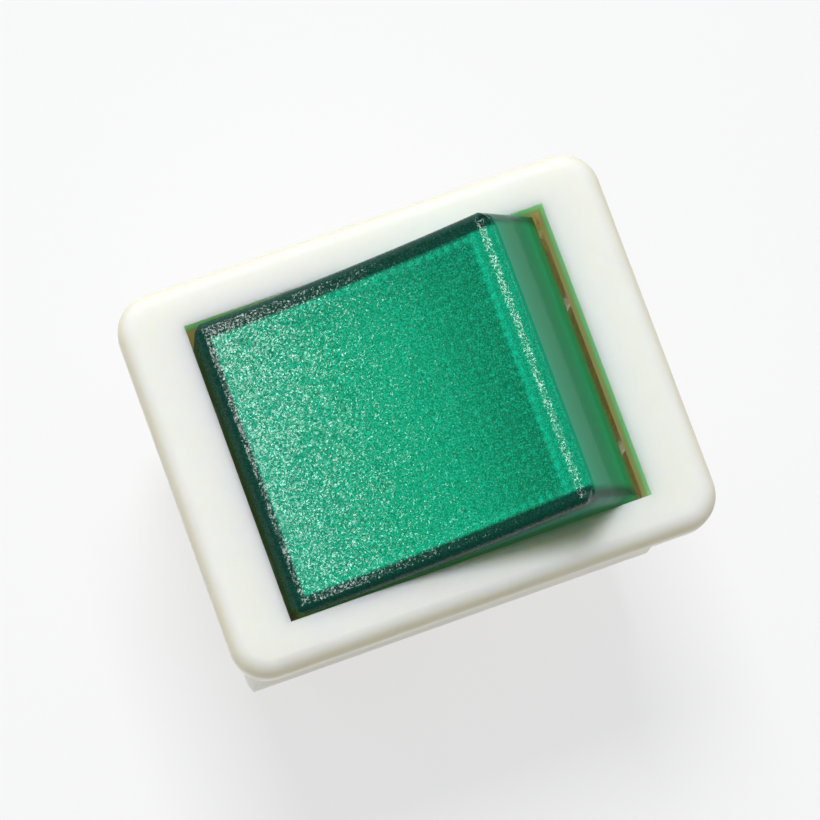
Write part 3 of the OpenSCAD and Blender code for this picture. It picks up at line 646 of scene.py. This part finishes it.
wire_radius = 0.175 * MM
to_rocker = (Matrix.Translation((0, 0, pivot_z)) @ Matrix.Rotation(-lean, 4, "Y")).inverted()
for side in "ab":
    points = [to_rocker @ v.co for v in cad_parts["plunger_spring_" + side].data.vertices]
    low = Vector([min(p[i] for p in points) for i in range(3)])
    high = Vector([max(p[i] for p in points) for i in range(3)])
    centre = (low + high) / 2
    foot = to_rocker.inverted() @ Vector((0, centre.y, low.z))
    piece = grown("plunger_coil_" + side, coil, {
        coil_inputs["Coil Radius"]: (high.x - low.x) / 2 - wire_radius,
        coil_inputs["Wire Radius"]: wire_radius,
        coil_inputs["Length"]: high.z - low.z,
        coil_inputs["Turns"]: float(coil_turns),
        coil_inputs["Foot"]: foot,
        coil_inputs["Lean"]: (0, -lean, 0),
        coil_inputs["Material"]: steel})
    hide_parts("plunger_spring_" + side)
    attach(piece, "rocker")
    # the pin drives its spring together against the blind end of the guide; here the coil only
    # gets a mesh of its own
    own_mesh(piece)

# ---------------------------------------------------------------- contact arms
# V-bent strips of copper alloy that rock on the common terminals. A silver rivet is headed
# through the wing that closes the pole.

copper = metal("copper_strip", (0.80, 0.42, 0.27), (0.42, 0.20, 0.12), (0.15, 1, 1), 0.6, 0.16)
silver = metal("silver_contact", (0.78, 0.77, 0.75), (0.42, 0.38, 0.32), (1, 1, 1), 0.35, 0.18)

for side in "ab":
    arm = dressed("contact_arm_" + side, "rocking_arm_" + side, 0.06)
    fit_out(arm, copper, "arm_copper", "arm_" + side, "contact_arm_" + side)
    rivet = dressed("moving_contact_" + side, "moving_rivet_" + side, 0.15)
    fit_out(rivet, silver, "contact_silver", "arm_" + side, "moving_contact_" + side)

# ---------------------------------------------------------------- terminals
# Stamped brass blades pressed through slots in the floor, with holes for solder and
# chamfered tips. The load blades carry the fixed silver contacts.

brass = metal("terminal_brass", (0.80, 0.57, 0.23), (0.42, 0.27, 0.11), (1, 1, 0.05), 0.5, 0.08)

for side in "ab":
    blade = dressed("common_terminal_" + side, "common_blade_" + side, 0.06)
    fit_out(blade, brass, "terminal_brass", "base", "common_terminal_" + side)
    blade = dressed("load_terminal_" + side, "load_blade_" + side, 0.06)
    fit_out(blade, brass, "terminal_brass", "base", "load_terminal_" + side)
    rivet = dressed("fixed_contact_" + side, "fixed_rivet_" + side, 0.15)
    fit_out(rivet, silver, "contact_silver", "base", "fixed_contact_" + side)

# ---------------------------------------------------------------- lamp
# A small glass glow lamp lies in the chamber between the poles. Its tinned wires run down
# to the load blades, one of them through a lacquered series resistor with coloured rings.

glass, tree, shader, place = new_material("lamp_glass")
seeds = add(tree, "ShaderNodeTexNoise", {"Vector": place, "Scale": 900.0, "Detail": 2.0})
tree.links.new(tint(tree, seeds.outputs[0], (0.93, 0.95, 0.95), (1.0, 1.0, 1.0)),
               shader.inputs["Base Color"])
raised(tree, shader, seeds.outputs[0], 0.1, 0.02 * MM)
shader.inputs["Roughness"].default_value = 0.03
shader.inputs["Transmission Weight"].default_value = 1.0
shader.inputs["IOR"].default_value = 1.5

lamp = dressed("neon_lamp", "glow_lamp", 0.0)
fit_out(lamp, glass, "lamp_glass", "base", "neon_lamp")

tinned = metal("tinned_wire", (0.70, 0.69, 0.68), (0.44, 0.42, 0.40), (1, 1, 0.3), 0.5, 0.2)
for node, name in (("lamp_lead", "lamp_wire"), ("link_lead", "link_wire"),
                   ("resistor_lead", "resistor_wire")):
    lead = dressed(node, name, 0.0)
    fit_out(lead, tinned, "lead_wire", "base", node)

lacquer, tree, shader, place = new_material("resistor_lacquer")
low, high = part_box("lamp_resistor")
share = step(tree, add(tree, "ShaderNodeSeparateXYZ", {0: place}).outputs["Z"], low.z, high.z)
skin = use(tree, moulded, {"Place": place, "Grain": 0.1, "Swell": 0.7})
tone = tint(tree, skin["Tone"], (0.62, 0.48, 0.28), (0.70, 0.56, 0.34))
for middle, ring_colour in ((0.20, (0.16, 0.055, 0.02)), (0.37, (0.012, 0.012, 0.012)),
                            (0.54, (0.62, 0.42, 0.02)), (0.80, (0.55, 0.38, 0.12))):
    ring = calc(tree, "MULTIPLY", step(tree, share, middle - 0.055, middle - 0.04),
                step(tree, share, middle + 0.055, middle + 0.04))
    tone = tint(tree, ring, tone, ring_colour)
tree.links.new(tone, shader.inputs["Base Color"])
shader.inputs["Roughness"].default_value = 0.35
raised(tree, shader, skin["Height"], 0.2, 0.02 * MM)
resistor = dressed("lamp_resistor", "series_resistor", 0.12)
fit_out(resistor, lacquer, "resistor_body", "base", "lamp_resistor")
